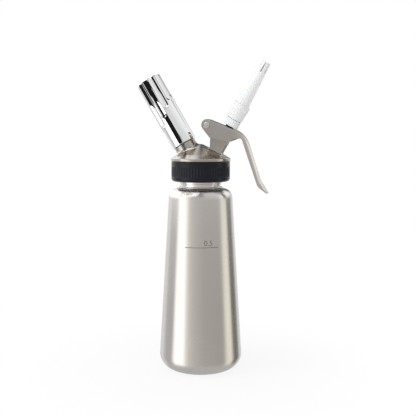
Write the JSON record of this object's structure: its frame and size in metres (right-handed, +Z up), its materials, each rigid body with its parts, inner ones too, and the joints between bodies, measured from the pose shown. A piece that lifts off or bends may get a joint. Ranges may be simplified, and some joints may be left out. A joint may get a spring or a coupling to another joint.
{
  "type": "whipped cream dispenser",
  "caption": "Tapered brushed steel cream whipper with a steel head, squeeze lever valve, fluted chrome charger holder, dark silicone grip ring and white slotted decorating nozzle.",
  "frame": {"origin": "centre of the bottle's flat base, on the bottle's axis", "axes": "+Z up along the bottle's axis, +X towards the nozzle and the lever's handle, -X towards the charger holder, -Y towards the viewer of the front"},
  "size_m": [0.1298, 0.0806, 0.2977],
  "materials": {
    "bottle_steel": "brushed round the bottle, satin",
    "satin_steel": "blasted satin, slightly warm",
    "chrome": "mirror bright",
    "silicone": "soft satin, near black with a blue cast",
    "black_rubber": "matt",
    "white_plastic": "smooth, half gloss",
    "plain_steel": "bright zinc"
  },
  "bodies": {
    "bottle": {"bottle_body": "bottle_steel", "neck_ring": "satin_steel"},
    "head": {"head_body": "satin_steel", "grip_ring": "silicone", "head_gasket": "black_rubber", "pin_carrier": "satin_steel", "carrier_gasket": "black_rubber", "check_valve": "black_rubber", "piercing_pin": "plain_steel", "charger_seal": "black_rubber", "lever_pin": "satin_steel", "pin_clip": "plain_steel", "valve_spring": "plain_steel"},
    "lever": {"lever": "satin_steel"},
    "stem": {"valve_stem": "satin_steel", "valve_seal": "black_rubber", "stem_o_ring_lower": "black_rubber", "stem_o_ring_upper": "black_rubber", "stem_collar": "satin_steel", "adapter_gasket": "black_rubber"},
    "adapter": {"nozzle_adapter": "white_plastic"},
    "nozzle": {"decorating_nozzle": "white_plastic"},
    "holder": {"charger_holder": "chrome"},
    "charger": {"gas_charger": "plain_steel"}
  },
  "joints": [
    {"name": "head_lift", "type": "slide", "parent": "bottle", "child": "head", "axis": [0, 0, 1], "range_m": [0, 0.06]},
    {"name": "lever_pivot", "type": "hinge", "parent": "head", "child": "lever", "pos_m": [0.00751, 0, 0.23743], "axis": [0, 1, 0], "range_deg": [0, 12], "stiffness_Nm_per_rad": 0.35, "springref_deg": -15.47},
    {"name": "valve_slide", "type": "slide", "parent": "head", "child": "stem", "axis": [-0.509, 0, -0.8607], "range_m": [0, 0.0032], "deforming": ["valve_spring"]},
    {"name": "adapter_lift", "type": "slide", "parent": "stem", "child": "adapter", "axis": [0.509, 0, 0.8607], "range_m": [0, 0.02]},
    {"name": "nozzle_lift", "type": "slide", "parent": "adapter", "child": "nozzle", "axis": [0.509, 0, 0.8607], "range_m": [0, 0.02]},
    {"name": "holder_lift", "type": "slide", "parent": "head", "child": "holder", "axis": [-0.509, 0, 0.8607], "range_m": [0, 0.075]},
    {"name": "charger_draw", "type": "slide", "parent": "head", "child": "charger", "axis": [-0.509, 0, 0.8607], "range_m": [0, 0.034]}
  ],
  "couplings": [
    {"joint": "valve_slide", "follows": "lever_pivot", "m_per_rad": 0.0149},
    {"joint": "charger_draw", "follows": "holder_lift", "ratio": 0.45}
  ]
}
